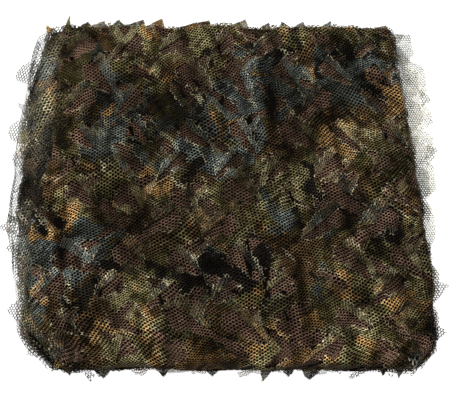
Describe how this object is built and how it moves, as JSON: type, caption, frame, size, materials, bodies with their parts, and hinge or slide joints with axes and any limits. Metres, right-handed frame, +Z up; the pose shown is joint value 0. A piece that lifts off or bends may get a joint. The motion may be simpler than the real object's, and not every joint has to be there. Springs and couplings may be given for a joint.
{
  "type": "camouflage net",
  "caption": "Folded two-layer camouflage net, a printed leaf-cut mesh sewn over a plain brown mesh, laid back and forth in a low pile.",
  "frame": {"origin": "middle of the folded pile's box, on the surface it rests on", "axes": "+X to the pile's right, where the lowest layer reaches out, +Y to the back, +Z up"},
  "size_m": [0.4302, 0.3496, 0.0652],
  "materials": {
    "printed_mesh": "matt knitted mesh with a blotched camouflage print",
    "brown_mesh": "matt knitted mesh, plain reddish brown"
  },
  "bodies": {
    "root": {"leaf_net": "printed_mesh", "ground_net": "brown_mesh"}
  },
  "joints": []
}
